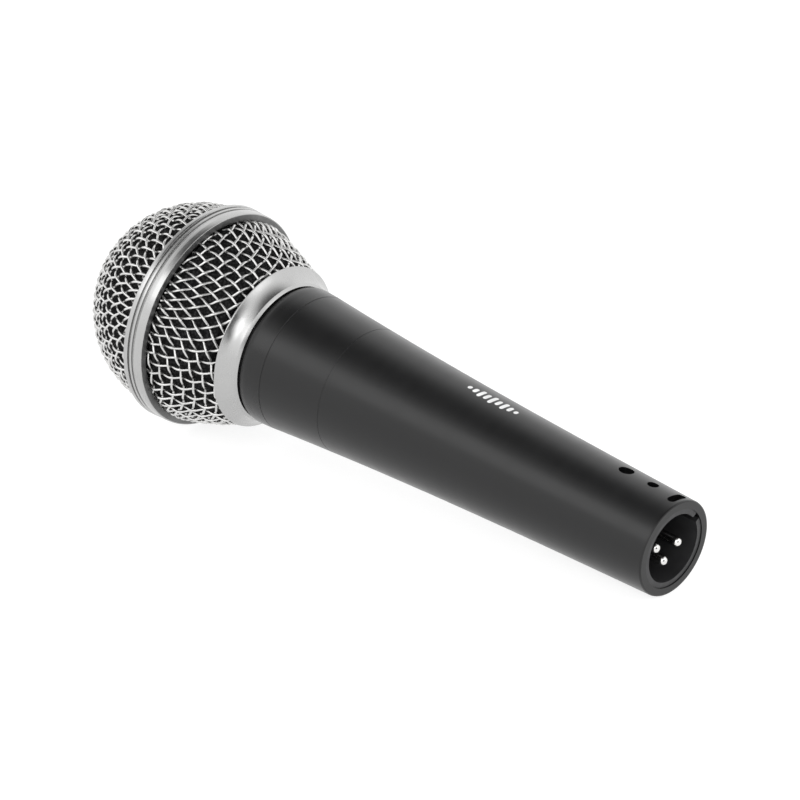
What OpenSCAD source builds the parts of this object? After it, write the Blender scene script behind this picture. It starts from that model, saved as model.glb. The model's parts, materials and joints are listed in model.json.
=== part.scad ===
// Handheld dynamic vocal microphone with a ball grille and a three-pin XLR tail.
// Every piece is drawn along the microphone's own axis, z = 0 at the tail rim and z up to the head,
// with +x as the top of the handle. lay_down() then rests it on its side on the plane z = 0.

/* [Handle] */
// Outer radius of the handle at the tail rim
tail_r = 11.4; // [11.2:0.1:12.5]
// Outer radius of the handle just below the grille
neck_r = 16.56; // [16.2:0.02:16.8]
// First shaping radius of the taper, a third of the way up
taper_r1 = 12.45; // [12.2:0.05:13]
// Second shaping radius of the taper, two thirds of the way up
taper_r2 = 13.6; // [13.2:0.05:14.2]
// Length of the tapered outline
taper_len = 110; // [110:0.5:111]
// Length of the handle tube, up to the fine seam under the neck ring
handle_len = 108.4; // [108:0.1:108.6]
// Wall thickness of the handle tube
handle_wall = 1.6; // [1.3:0.05:1.7]
// Height of the scribed line round the handle
scribe_z = 91.65; // [85:0.05:95]

/* [Tail openings] */
// Turn of the connector and of the three openings about the axis, from straight up
tail_roll = 9; // [0:1:15]
// Height of the set screw's hole
screw_z = 16.6; // [16:0.1:17.4]
// Diameter of the set screw's hole in the handle
screw_hole_d = 3.6; // [3:0.1:3.8]
// Height of the drain hole
drain_z = 8.95; // [7:0.05:11]
// Diameter of the drain hole
drain_d = 2.7; // [2:0.1:3]
// Height of the middle of the latch window
latch_z = 2.15; // [2:0.05:3]
// Size of the latch window along the axis
latch_w = 2.1; // [1.6:0.1:2.4]
// Size of the latch window round the handle
latch_len = 5.4; // [4:0.1:7]

/* [Connector] */
// Radius of the connector insert
insert_r = 9.42; // [9.3:0.01:9.43]
// Length of the connector insert
insert_len = 20.5; // [20:0.1:21]
// Set back of the insert's face from the handle's rim
insert_inset = 0.25; // [0.1:0.05:0.6]
// Radius of the socket
socket_r = 8.15; // [8:0.05:8.2]
// Height of the socket's floor
socket_floor_z = 14.4; // [13:0.1:14.6]
// Radius of a contact pin
pin_r = 1.2; // [1.15:0.01:1.2]
// Radius of the circle that the pins stand on
pin_circle_r = 3.81; // [3.7:0.01:4.1]
// Height of the pins' tips
pin_tip_z = 1.2; // [0.6:0.1:2]
// Width of the key slot
key_w = 2.0; // [1.5:0.1:2.4]
// Place of the key slot, from the latch window
key_angle = 45; // [35:1:55]

/* [Grille] */
// Height of the collar's lower edge
collar_z = 115.15; // [114.9:0.05:115.3]
// Radius of the collar's lower edge
collar_low_r = 16.75; // [16.6:0.05:17]
// Height of the collar's upper edge
collar_top_z = 119.4; // [119.2:0.1:119.6]
// Radius of the collar's upper edge
collar_top_r = 19.63; // [19.4:0.01:19.8]
// Height of the band's lower edge
band_z = 135.4; // [135:0.1:136]
// Width of the band
band_w = 6.1; // [5.5:0.1:6.5]
// Radius of the band's lower edge
band_low_r = 25.88; // [25.8:0.01:26]
// Radius of the band's upper edge
band_top_r = 26.18; // [26.1:0.01:26.4]
// Outer radius of the domed mesh
dome_r = 24.9; // [24.8:0.05:24.95]
// Thickness of the woven mesh, two wires deep
mesh_t = 1.4; // [1.2:0.1:1.5]
// How far the lower mesh bulges beyond a straight cone
mesh_bulge = 0.35; // [0:0.05:0.5]
// Thickness of the foam lining
foam_t = 3; // [2:0.1:3.5]

/* [Capsule] */
// Height of the underside of the capsule's flange
capsule_z = 121.4; // [121.4:0.1:122]
// Radius of the capsule's flange
capsule_flange_r = 14.2; // [13.8:0.1:14.5]
// Radius of the capsule's body
capsule_r = 11.6; // [11.4:0.05:11.8]
// Radius of the chamber behind the capsule
chamber_r = 9; // [8.6:0.1:9.4]
// Length of the chamber behind the capsule
chamber_len = 15; // [13:0.5:16]
// Radius of the magnet
magnet_r = 7; // [6.5:0.1:7.2]
// Thickness of the magnet
magnet_t = 5.6; // [5:0.1:6]
// Diameter of the leads
lead_d = 1.1; // [0.9:0.1:1.2]

/* [Hidden] */
$fn = 96;

reach = 30;               // length of a cutting tool that goes right through a wall
fit = 0.03;               // clearance between pieces that are pressed or glued together

// The microphone rests on the tail rim and on the band's lower edge.
dome_z = band_z + band_w + 0.4;
tilt = atan((band_low_r - tail_r) / band_z);
tail_x = (dome_z * cos(tilt) + dome_r - tail_r * sin(tilt)) / 2;

module lay_down()
    translate([tail_x, 0, tail_r * cos(tilt)]) rotate([0, tilt - 90, 0]) children();

// Turns children onto a radius that points out at an angle and a height.
module radial(angle, z)
    translate([0, 0, z]) rotate([0, 90, angle]) children();

module ring(r_out, r_in, z0, z1)
    difference() {
        translate([0, 0, z0]) cylinder(r = r_out, h = z1 - z0);
        translate([0, 0, z0 - 1]) cylinder(r = r_in, h = z1 - z0 + 2);
    }

function lerp(a, b, t) = a + (b - a) * t;

// ---- handle ----

outline_steps = 24;
upper_steps = 6;
bore_steps = 12;
seat_r = 9.45;            // bore that the insert slides into
seat_stop_z = 21.2;       // shoulder that the insert stops against
seat_stop_r = 8.6;
rim_edge = 0.35;          // rounding of the tail rim
rim_step = 0.1;
seam_edge = 0.07;         // bevel beside the fine seam
seam_h = 0.12;
scribe_d = 0.06;          // depth of the scribed line
scribe_half = 0.11;
bore_z = 24;              // lower end of the wide bore
neck_seat_z = 98;         // lower end of the bore that the neck ring is pressed into
neck_seat_r = 14.5;
neck_fit = 0.02;
neck_end = 0.3;
neck_bore_r = 13.3;
neck_top_z = 114.6;       // shoulder below the thread
neck_top_r = 16;
neck_round_z = 112.9;     // where the neck starts to round in
thread_r = 15.5;
thread_top_z = 119.6;
thread_pitch = 1.25;
thread_depth = 0.45;
thread_start = 0.9;       // first groove, above the shoulder
thread_edge = 0.3;

// Outline of the handle: a cubic curve whose four shaping radii stand at equal steps of height.
function handle_r(z) = let (u = z / taper_len, v = 1 - u)
    tail_r * v * v * v + 3 * taper_r1 * u * v * v + 3 * taper_r2 * u * u * v + neck_r * u * u * u;

function outline(z0, z1, steps) = [for (i = [0 : steps]) let (z = lerp(z0, z1, i / steps)) [handle_r(z), z]];
function inner_wall(z0, z1, steps) =
    [for (i = [0 : steps]) let (z = lerp(z0, z1, i / steps)) [handle_r(z) - handle_wall, z]];

// The latch window's outline: a slot that runs round the handle.
module window(h)
    linear_extrude(h)
        union() {
            square([latch_w, latch_len - latch_w], center = true);
            for (side = [-1, 1]) translate([0, side * (latch_len - latch_w) / 2]) circle(d = latch_w);
        }

// The drain hole and the latch window go through the handle and the insert alike.
drain_from = 5;
module tail_openings() {
    radial(tail_roll, drain_z) translate([0, 0, drain_from]) cylinder(d = drain_d, h = reach);
    radial(tail_roll, latch_z) translate([0, 0, drain_from]) window(reach);
}

module handle_body() color([0.09, 0.09, 0.095]) lay_down()
    difference() {
        rotate_extrude() polygon(concat(
            [[seat_r, 0], [tail_r - rim_edge, 0], [tail_r - rim_step, rim_step]],
            outline(rim_edge, scribe_z - scribe_half, outline_steps),
            [[handle_r(scribe_z) - scribe_d, scribe_z]],
            outline(scribe_z + scribe_half, handle_len - seam_h, upper_steps),
            [[handle_r(handle_len) - seam_edge, handle_len], [neck_seat_r, handle_len],
             [neck_seat_r, neck_seat_z], [handle_r(neck_seat_z) - handle_wall, neck_seat_z]],
            inner_wall(neck_seat_z - 2, bore_z, bore_steps),
            [[seat_stop_r, seat_stop_z + 1], [seat_stop_r, seat_stop_z], [seat_r, seat_stop_z]]));
        tail_openings();
        radial(tail_roll, screw_z) cylinder(d = screw_hole_d, h = reach);
    }

// The neck rounds in on a quarter ellipse, from the taper to the shoulder.
function neck_curve(a) =
    [lerp(neck_top_r, handle_r(neck_round_z) - 0.1, cos(a)), lerp(neck_round_z, neck_top_z, sin(a))];

module thread_groove(z)
    polygon([[thread_r + 0.1, z - thread_depth], [thread_r - thread_depth, z],
             [thread_r + 0.1, z + thread_depth]]);

module neck_ring() color([0.08, 0.08, 0.085]) lay_down()
    difference() {
        rotate_extrude() polygon(concat(
            [[neck_bore_r, neck_seat_z + neck_end], [neck_seat_r - neck_fit, neck_seat_z + neck_end],
             [neck_seat_r - neck_fit, handle_len + neck_fit],
             [handle_r(handle_len) - seam_edge, handle_len + neck_fit],
             [handle_r(handle_len + seam_h), handle_len + seam_h], [handle_r(110), 110]],
            [for (a = [0 : 15 : 75]) neck_curve(a)],
            [[neck_top_r, neck_top_z], [thread_r, neck_top_z], [thread_r, thread_top_z - thread_edge],
             [thread_r - thread_edge, thread_top_z], [neck_bore_r, thread_top_z]]));
        rotate_extrude()
            for (i = [0 : 2]) thread_groove(neck_top_z + thread_start + i * thread_pitch);
    }

// ---- connector ----

pin_angles = [tail_roll - 90, tail_roll + 90, tail_roll + 180];
pin_flange_r = 1.5;
pin_flange_len = 5;
pin_tail_r = 1.15;
pin_tail_z = 24;
cup_bore_r = 0.8;         // hollow in a pin's tail for the solder
cup_depth = 2.6;
cup_cut_x = 0.2;
key_len = 10;
screw_r = 1.05;
screw_from = 5.5;
screw_to = 10.1;
screw_socket_r = 0.58;
screw_socket_len = 1.3;
spring_w = 3;
spring_t = 0.3;
spring_x = insert_r - 0.15 - spring_t;
spring_z = 15.6;
spring_top_z = insert_len + 0.1;
spring_gap = 0.1;

module connector_insert() color([0.2, 0.2, 0.21]) lay_down()
    difference() {
        translate([0, 0, insert_inset]) cylinder(r = insert_r, h = insert_len - insert_inset);
        cylinder(r = socket_r, h = socket_floor_z);
        rotate([0, 0, tail_roll + key_angle]) translate([0, -key_w / 2, -1])
            cube([insert_r + 1, key_w, key_len + 1]);
        tail_openings();
        radial(tail_roll, screw_z) translate([0, 0, screw_from - 0.5]) cylinder(r = screw_r + fit, h = reach);
        for (a = pin_angles)
            rotate([0, 0, a]) translate([pin_circle_r, 0, 0]) cylinder(r = pin_flange_r + fit, h = reach);
        rotate([0, 0, pin_angles[0]])
            translate([spring_x - spring_gap, -spring_w / 2 - spring_gap, spring_z - 2 * spring_gap])
                cube([2, spring_w + 2 * spring_gap, reach]);
    }

// A round-nosed pin with a wider flange in the insert and a hollow cup for the solder.
module contact_pin(angle) color([0.86, 0.86, 0.85]) lay_down() rotate([0, 0, angle])
    translate([pin_circle_r, 0, 0])
        difference() {
            union() {
                translate([0, 0, pin_tip_z + pin_r]) sphere(r = pin_r);
                translate([0, 0, pin_tip_z + pin_r])
                    cylinder(r = pin_r, h = socket_floor_z - pin_tip_z - pin_r);
                translate([0, 0, socket_floor_z]) cylinder(r = pin_flange_r, h = pin_flange_len);
                translate([0, 0, socket_floor_z]) cylinder(r = pin_tail_r, h = pin_tail_z - socket_floor_z);
            }
            translate([0, 0, pin_tail_z - cup_depth]) cylinder(r = cup_bore_r, h = reach);
            translate([cup_cut_x, -reach / 2, pin_tail_z - cup_depth + 0.6]) cube([reach, reach, reach]);
        }

module contact_pin_1() contact_pin(pin_angles[0]);
module contact_pin_2() contact_pin(pin_angles[1]);
module contact_pin_3() contact_pin(pin_angles[2]);

module set_screw() color([0.55, 0.55, 0.57]) lay_down()
    radial(tail_roll, screw_z)
        difference() {
            translate([0, 0, screw_from]) cylinder(r = screw_r, h = screw_to - screw_from);
            translate([0, 0, screw_to - screw_socket_len]) cylinder(r = screw_socket_r, h = 3, $fn = 6);
        }

// A flat spring that joins pin 1 to the wall of the handle.
module ground_spring() color([0.8, 0.7, 0.45]) lay_down() rotate([0, 0, pin_angles[0]])
    difference() {
        union() {
            translate([spring_x, -spring_w / 2, spring_z])
                cube([spring_t, spring_w, spring_top_z + spring_t - spring_z]);
            translate([pin_circle_r, -spring_w / 2, spring_top_z])
                cube([spring_x - pin_circle_r + 0.1, spring_w, spring_t]);
        }
        translate([pin_circle_r, 0, 0]) cylinder(r = pin_tail_r + fit, h = reach);
    }

// ---- capsule, drawn from the underside of its flange ----

body_floor_z = capsule_z - 12;
body_floor_r = 6.5;
chamber_back_z = body_floor_z - chamber_len;
chamber_wall = 0.8;
ledge_z = capsule_z + 1.55;   // ledge that the diaphragm's rim lies on
housing_top_z = capsule_z + 4.4;
port_r = 0.7;                 // rear ports, in a ring through the flange
port_circle_r = 12.1;
cup_z = body_floor_z + 1.25;
cup_t = 1.5;
cup_r = 10.55;
cup_in_r = 9.1;
plate_r = 7.5;
plate_t = 2.55;
vent_r = 1.5;                 // vent through the magnetic circuit
magnet_z = cup_z + cup_t + fit;
plate_z = magnet_z + magnet_t + fit;
gap_top_z = plate_z + plate_t;
coil_r = 8.0;
coil_t = 0.6;
coil_depth = 0.3;
film_t = 0.25;
film_z = ledge_z + fit;
film_rise = 2.3;
roll_rise = 0.7;
roll_edge = 0.9;
film_steps = 8;
rim_r = 13;
clamp_w = 0.85;
clamp_h = 1.1;
cap_z = ledge_z + 3.9;
cap_t = 1.6;
cap_rim_h = 0.8;
recess_r = 13.1;
cap_hole_r = 1.1;
board_t = 1.2;
board_r = 6.5;
lug_r = 3.2;                  // place of the lugs on the board
lug_tail_r = 0.72;
lug_head_r = 0.97;
lug_head_h = 2.15;
lug_angles = [tail_roll + 90, tail_roll + 270];

module capsule_housing() color([0.16, 0.16, 0.17]) lay_down()
    difference() {
        union() {
            translate([0, 0, body_floor_z]) cylinder(r = capsule_r, h = capsule_z - body_floor_z + 0.5);
            translate([0, 0, capsule_z]) cylinder(r = capsule_flange_r, h = housing_top_z - capsule_z);
        }
        translate([0, 0, body_floor_z - 1]) cylinder(r = body_floor_r, h = reach);
        translate([0, 0, cup_z - fit]) cylinder(r = cup_r + fit, h = reach);
        translate([0, 0, ledge_z]) cylinder(r = recess_r, h = reach);
        for (a = [22.5 : 45 : 337.5])
            rotate([0, 0, a]) translate([port_circle_r, 0, capsule_z - 1]) cylinder(r = port_r, h = 4);
    }

module rear_chamber() color([0.7, 0.7, 0.7]) lay_down()
    difference() {
        translate([0, 0, chamber_back_z]) cylinder(r = chamber_r, h = chamber_len - fit);
        translate([0, 0, chamber_back_z + chamber_wall]) cylinder(r = chamber_r - chamber_wall, h = reach);
    }

module terminal_board() color([0.5, 0.33, 0.16]) lay_down()
    difference() {
        translate([0, 0, chamber_back_z - fit - board_t]) cylinder(r = board_r, h = board_t);
        for (a = lug_angles)
            rotate([0, 0, a]) translate([lug_r, 0, chamber_back_z - reach / 2])
                cylinder(r = lug_tail_r + fit, h = reach);
    }

module solder_lugs() color([0.85, 0.83, 0.78]) lay_down()
    for (a = lug_angles) rotate([0, 0, a]) translate([lug_r, 0, chamber_back_z - board_t])
        difference() {
            union() {
                translate([0, 0, -0.05 - lug_head_h]) cylinder(r = lug_head_r, h = lug_head_h);
                translate([0, 0, -0.05]) cylinder(r = lug_tail_r, h = board_t - 0.1);
            }
            translate([0, 0, -1.1 - reach]) cylinder(r = lead_d / 2 + 0.1, h = reach);
        }

module magnet_cup() color([0.62, 0.62, 0.64]) lay_down()
    difference() {
        translate([0, 0, cup_z]) cylinder(r = cup_r, h = gap_top_z - cup_z);
        translate([0, 0, cup_z + cup_t]) cylinder(r = cup_in_r, h = reach);
        translate([0, 0, cup_z - 1]) cylinder(r = vent_r, h = reach);
    }

module magnet() color([0.75, 0.75, 0.78]) lay_down()
    ring(magnet_r, vent_r, magnet_z, magnet_z + magnet_t);

module pole_plate() color([0.66, 0.66, 0.68]) lay_down()
    ring(plate_r, vent_r, plate_z, gap_top_z);

module voice_coil() color([0.72, 0.4, 0.2]) lay_down()
    ring(coil_r + coil_t, coil_r, plate_z + coil_depth, film_z - 0.02);

// A thin film: a dome inside the coil, a rolled surround outside it, and a flat rim.
film_edge_r = coil_r + coil_t;
function film_point(u, t) = [film_edge_r * u, film_rise * (1 - u * u) + t];
function roll_point(u, t) = [lerp(film_edge_r, rim_r - roll_edge, u), roll_rise * sin(180 * u) + t];
function film_line(t) = concat([for (i = [0 : film_steps]) film_point(i / film_steps, t)],
                               [for (i = [1 : film_steps]) roll_point(i / film_steps, t)]);
function reversed(line) = [for (i = [len(line) - 1 : -1 : 0]) line[i]];

module diaphragm() color([0.8, 0.75, 0.6]) lay_down()
    translate([0, 0, film_z])
        rotate_extrude()
            polygon(concat(film_line(0), [[rim_r, 0], [rim_r, film_t]], reversed(film_line(film_t))));

module clamp_ring() color([0.7, 0.6, 0.35]) lay_down()
    ring(rim_r, rim_r - clamp_w, film_z + film_t + fit, ledge_z + film_t + clamp_h);

module capsule_cap() color([0.14, 0.14, 0.15]) lay_down()
    difference() {
        union() {
            ring(recess_r - fit, rim_r - clamp_w, ledge_z + film_t + clamp_h + 0.05, cap_z + 0.1);
            translate([0, 0, cap_z]) cylinder(r = capsule_flange_r, h = cap_t + cap_rim_h);
        }
        translate([0, 0, cap_z + cap_t]) cylinder(r = recess_r, h = reach);
        translate([0, 0, cap_z - 1]) cylinder(r = cap_hole_r, h = reach);
        for (a = [0 : 60 : 300])
            rotate([0, 0, a]) translate([4.4, 0, cap_z - 1]) cylinder(r = cap_hole_r, h = reach);
        for (a = [15 : 30 : 345])
            rotate([0, 0, a]) translate([8.8, 0, cap_z - 1]) cylinder(r = cap_hole_r, h = reach);
    }

module front_screen() color([0.85, 0.85, 0.85]) lay_down()
    translate([0, 0, cap_z + cap_t + fit]) cylinder(r = recess_r - 0.1, h = 0.4);

// ---- rubber mounts of the capsule ----

mount_play = 0.05;
front_mount_z = 112;
front_lip_z = thread_top_z + mount_play;
front_lip_w = 0.4;
rear_mount_z = 99.5;
rear_mount_h = 3;

module shock_mount_front() color([0.12, 0.12, 0.12]) lay_down()
    union() {
        ring(neck_bore_r - mount_play, capsule_r + mount_play, front_mount_z, thread_top_z + front_lip_w);
        ring(capsule_flange_r + front_lip_w, capsule_r + mount_play, front_lip_z, capsule_z - mount_play);
    }

module shock_mount_rear() color([0.12, 0.12, 0.12]) lay_down()
    ring(neck_bore_r - mount_play, chamber_r + mount_play, rear_mount_z, rear_mount_z + rear_mount_h);

// ---- leads: a twisted pair from the pins to the lugs ----

lead_z0 = pin_tail_z - 1.8;
lead_z1 = chamber_back_z - 2.4;
lead_run = 9;             // length over which each end fans out
lead_straight = 2;
lead_twist_r = 0.8;
lead_turns = 4;
lead_rings = 44;
lead_sides = 8;

function ease(t) = let (c = max(0, min(1, t))) c * c * (3 - 2 * c);
function lead_radius(z) =
    lead_twist_r + (pin_circle_r - lead_twist_r) * (1 - ease((z - lead_z0 - lead_straight) / lead_run))
    + (lug_r - lead_twist_r) * ease((z - lead_z1 + lead_run + 1) / lead_run);
function lead_angle(z, a0, a1) =
    lerp(a0, a1, ease((z - lead_z0 - lead_straight) / (lead_z1 - lead_z0 - lead_straight - 1)));
function lead_point(z, a0, a1) =
    let (r = lead_radius(z), a = lead_angle(z, a0, a1)) [r * cos(a), r * sin(a), z];

// A round tube swept along one lead's route, with each ring square to the axis.
module lead(a0, a1) {
    points = [for (i = [0 : lead_rings]) for (k = [0 : lead_sides - 1])
        let (p = lead_point(lerp(lead_z0, lead_z1, i / lead_rings), a0, a1), a = 360 * k / lead_sides)
        p + lead_d / 2 * [cos(a), sin(a), 0]];
    walls = [for (i = [0 : lead_rings - 1]) for (k = [0 : lead_sides - 1])
        let (n = (k + 1) % lead_sides, b = i * lead_sides, t = b + lead_sides)
        [b + k, t + k, t + n, b + n]];
    low_end = [for (k = [0 : lead_sides - 1]) k];
    high_end = [for (k = [lead_sides - 1 : -1 : 0]) lead_rings * lead_sides + k];
    polyhedron(points, concat([low_end], walls, [high_end]), convexity = 10);
}

module lead_hot() color([0.75, 0.1, 0.08]) lay_down()
    lead(pin_angles[1], lug_angles[0] + 360 * lead_turns);
module lead_cold() color([0.85, 0.85, 0.82]) lay_down()
    lead(pin_angles[2], lug_angles[1] + 360 * lead_turns);

// ---- grille ----

thread_play = 0.06;       // radial clearance of the thread
collar_bore_r = thread_r + thread_play;
collar_lip_z = 121.3;     // top of the collar's inner lip
collar_lip_r = 17.2;
lip_edge = 0.3;
mesh_foot_z = 118.95;     // lower end of the mesh, in the collar's groove
mesh_foot_r = 18.9;
groove_play = 0.06;
band_gap = 0.05;
band_lip = 0.6;           // the band's lower edge, above the widest part of the cone
band_top_z = band_z + band_w;
mesh_seat_r = dome_r + band_gap;
skirt_z = 139.6;          // lower end of the dome's straight skirt
cone_top_z = 138.4;       // upper end of the lower mesh
inner_ring_t = 0.9;
inner_ring_z = 137;
cone_low_r = 19.3;
cone_high_r = 24.85;
cone_steps = 8;

// Outer radius of the lower mesh at a height: a straight cone with a slight bulge.
function mesh_r(z) = let (u = (z - collar_top_z) / (band_z - collar_top_z))
    lerp(cone_low_r, cone_high_r, u) + 4 * mesh_bulge * u * (1 - u);

// The lower mesh's line, set in by a depth.
function mesh_line(depth) =
    [for (i = [0 : cone_steps]) let (z = lerp(collar_top_z, band_z, i / cone_steps)) [mesh_r(z) - depth, z]];

// The collar flares out on a curve, from its chamfered lower edge to a thin upper edge.
module grille_collar() color([0.72, 0.72, 0.72]) lay_down()
    rotate_extrude() polygon([
        [collar_bore_r, collar_z], [collar_low_r - 0.35, collar_z], [collar_low_r + 0.2, collar_z + 0.7],
        [collar_low_r + 0.4, collar_z + 1.1], [collar_low_r + 1.0, collar_z + 2.05],
        [collar_low_r + 1.9, collar_z + 3.15], [collar_top_r - 0.25, collar_top_z - 0.35],
        [collar_top_r, collar_top_z - 0.1], [collar_top_r - 0.05, collar_top_z],
        [cone_low_r + groove_play, collar_top_z],
        [mesh_foot_r + groove_play, mesh_foot_z - groove_play],
        [mesh_foot_r - mesh_t - 0.1, mesh_foot_z - groove_play], [collar_lip_r, mesh_foot_z + 0.4],
        [collar_lip_r, collar_lip_z], [collar_bore_r + lip_edge, collar_lip_z],
        [collar_bore_r, collar_lip_z - lip_edge]]);

module cone_mesh() color([0.78, 0.78, 0.78]) lay_down()
    rotate_extrude() polygon(concat(
        [[mesh_foot_r - mesh_t, mesh_foot_z], [mesh_foot_r, mesh_foot_z]], mesh_line(0),
        [[dome_r, cone_top_z], [dome_r - mesh_t, cone_top_z]], reversed(mesh_line(mesh_t))));

// A turned ring with two grooves and a rib above its wide face.
module grille_band() color([0.7, 0.7, 0.7]) lay_down()
    rotate_extrude() polygon([
        [mesh_seat_r, band_z + band_lip], [band_low_r - 0.06, band_z + band_lip],
        [band_low_r + 0.07, band_z + band_lip + 0.15],
        [band_low_r + 0.16, band_z + 2.9], [band_low_r + 0.1, band_z + 3.0],
        [band_top_r - 0.45, band_z + 3.15], [band_top_r - 0.45, band_z + 3.5],
        [band_top_r - 0.1, band_z + 3.55], [band_top_r - 0.1, band_z + 4.05],
        [band_top_r - 0.48, band_z + 4.2], [band_top_r - 0.48, band_z + 4.68],
        [band_top_r - 0.05, band_z + 4.73], [band_top_r, band_z + 4.8],
        [band_top_r, band_top_z - 0.25], [band_top_r - 0.2, band_top_z], [mesh_seat_r, band_top_z]]);

module band_inner_ring() color([0.6, 0.6, 0.6]) lay_down()
    ring(dome_r - mesh_t - band_gap, dome_r - mesh_t - inner_ring_t, inner_ring_z, band_top_z - 0.1);

module dome_mesh() color([0.8, 0.8, 0.8]) lay_down()
    difference() {
        union() {
            intersection() {
                translate([0, 0, dome_z]) sphere(r = dome_r);
                translate([0, 0, dome_z - 0.01]) cylinder(r = dome_r + 1, h = reach);
            }
            translate([0, 0, skirt_z]) cylinder(r = dome_r, h = dome_z - skirt_z);
        }
        translate([0, 0, dome_z]) sphere(r = dome_r - mesh_t);
        translate([0, 0, skirt_z - 1]) cylinder(r = dome_r - mesh_t, h = dome_z - skirt_z + 1);
    }

// ---- foam lining, a quarter of a millimetre inside the mesh ----

foam_gap = 0.25;
foam_split_z = 136.4;
foam_low_z = 121.6;
foam_dome_r = dome_r - mesh_t - foam_gap;
foam_hollow_r = foam_dome_r - foam_t - 0.6;
foam_skirt_r = dome_r - mesh_t - inner_ring_t - 0.35;

function foam_line(depth) =
    [for (i = [0 : cone_steps]) let (z = lerp(foam_low_z, foam_split_z - 0.1, i / cone_steps))
        [mesh_r(min(z, band_z)) - mesh_t - foam_gap - depth, z]];

module foam_dome() color([0.05, 0.05, 0.05]) lay_down()
    difference() {
        union() {
            intersection() {
                translate([0, 0, dome_z]) sphere(r = foam_dome_r);
                translate([0, 0, dome_z - 0.01]) cylinder(r = dome_r, h = reach);
            }
            translate([0, 0, foam_split_z]) cylinder(r = foam_skirt_r, h = dome_z - foam_split_z);
        }
        translate([0, 0, dome_z]) sphere(r = foam_hollow_r);
        translate([0, 0, foam_split_z - 1]) cylinder(r = foam_hollow_r, h = dome_z - foam_split_z + 1);
    }

module foam_cone() color([0.05, 0.05, 0.05]) lay_down()
    rotate_extrude() polygon(concat(foam_line(0), reversed(foam_line(foam_t))));

handle_body();
neck_ring();
connector_insert();
contact_pin_1();
contact_pin_2();
contact_pin_3();
set_screw();
ground_spring();
lead_hot();
lead_cold();
shock_mount_front();
shock_mount_rear();
capsule_housing();
rear_chamber();
terminal_board();
solder_lugs();
magnet_cup();
magnet();
pole_plate();
voice_coil();
diaphragm();
clamp_ring();
capsule_cap();
front_screen();
foam_dome();
foam_cone();
grille_collar();
cone_mesh();
grille_band();
band_inner_ring();
dome_mesh();
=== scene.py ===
import json
import math

import bmesh
import bpy
import numpy as np
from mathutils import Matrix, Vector, noise


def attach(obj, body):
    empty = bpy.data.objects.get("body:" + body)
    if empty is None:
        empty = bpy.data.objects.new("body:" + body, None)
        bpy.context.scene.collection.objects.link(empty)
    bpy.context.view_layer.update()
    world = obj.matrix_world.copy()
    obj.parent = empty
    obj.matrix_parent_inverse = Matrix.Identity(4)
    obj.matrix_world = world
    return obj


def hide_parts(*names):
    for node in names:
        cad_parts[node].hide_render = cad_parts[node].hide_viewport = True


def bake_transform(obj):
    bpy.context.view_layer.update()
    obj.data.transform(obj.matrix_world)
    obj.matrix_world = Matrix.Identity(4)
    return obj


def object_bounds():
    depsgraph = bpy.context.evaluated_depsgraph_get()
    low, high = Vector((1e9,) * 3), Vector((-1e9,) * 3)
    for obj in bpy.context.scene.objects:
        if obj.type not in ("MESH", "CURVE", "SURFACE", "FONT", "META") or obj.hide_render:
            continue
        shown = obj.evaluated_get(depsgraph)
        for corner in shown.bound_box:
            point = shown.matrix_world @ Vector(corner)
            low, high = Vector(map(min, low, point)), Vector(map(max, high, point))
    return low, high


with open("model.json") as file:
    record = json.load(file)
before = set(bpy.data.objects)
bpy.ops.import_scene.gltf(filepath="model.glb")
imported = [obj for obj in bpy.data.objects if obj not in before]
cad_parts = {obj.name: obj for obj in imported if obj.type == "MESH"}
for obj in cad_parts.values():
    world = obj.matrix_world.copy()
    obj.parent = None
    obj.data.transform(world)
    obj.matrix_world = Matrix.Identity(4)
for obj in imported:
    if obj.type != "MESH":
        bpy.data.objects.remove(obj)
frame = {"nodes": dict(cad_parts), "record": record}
cad_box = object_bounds()

MM = 0.001
scene = bpy.context.scene

# ---- the microphone's own axes: z from the tail rim to the head, x up, y away from the camera ----

CLIP_Z = 60.0  # the clip's seat starts this far up the axis
clip_seat = next(m for m in frame["record"]["mounts"] if m["name"] == "clip_seat")
AXIS = np.array(clip_seat["axis"], float)
AXIS /= np.linalg.norm(AXIS)
SIDE = np.array([0.0, 1.0, 0.0])
TOP = np.cross(SIDE, AXIS)
TAIL = np.array(clip_seat["pos_m"], float) - AXIS * CLIP_Z * MM


def place(points):
    """Points on the microphone's own axes, in millimetres, as points of the scene in metres."""
    p = np.asarray(points, float).reshape(-1, 3)
    return TAIL + MM * (p[:, :1] * TOP + p[:, 1:2] * SIDE + p[:, 2:3] * AXIS)


# ---- dimensions shared with the CAD part, in millimetres ----

# Handle: its radius follows a cubic curve from the tail to the neck.
TAIL_R = 11.4
TAPER_R1 = 12.45
TAPER_R2 = 13.6
NECK_R = 16.56
TAPER_LEN = 110.0

# Outer faces of the dome and of the lower cone of woven wire.
DOME_R = 24.9
DOME_Z = 141.9
SKIRT_Z = 139.6
MESH_FOOT_R = 18.9
MESH_FOOT_Z = 118.95
CONE_LOW_R = 19.3
CONE_HIGH_R = 24.85
CONE_TOP_Z = 138.4
MESH_BULGE = 0.35
MESH_T = 1.4

# Turned rings.
COLLAR_Z = 115.15
COLLAR_TOP_Z = 119.4
COLLAR_BORE_R = 15.56
COLLAR_LIP_R = 17.2
COLLAR_LIP_Z = 121.3
BAND_Z = 135.4
BAND_FOOT_Z = 136.05
BAND_TOP_Z = 141.5
BAND_R = 26.17
BAND_SEAT_R = 24.95

# Foam lining.
FOAM_GAP = 0.25
FOAM_T = 3.0
FOAM_LOW_Z = 121.6
FOAM_SPLIT_Z = 136.4
FOAM_SKIRT_R = 22.25


def handle_r(z):
    """Outer radius of the handle."""
    u = z / TAPER_LEN
    v = 1 - u
    return TAIL_R * v**3 + 3 * TAPER_R1 * u * v**2 + 3 * TAPER_R2 * u**2 * v + NECK_R * u**3


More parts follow.
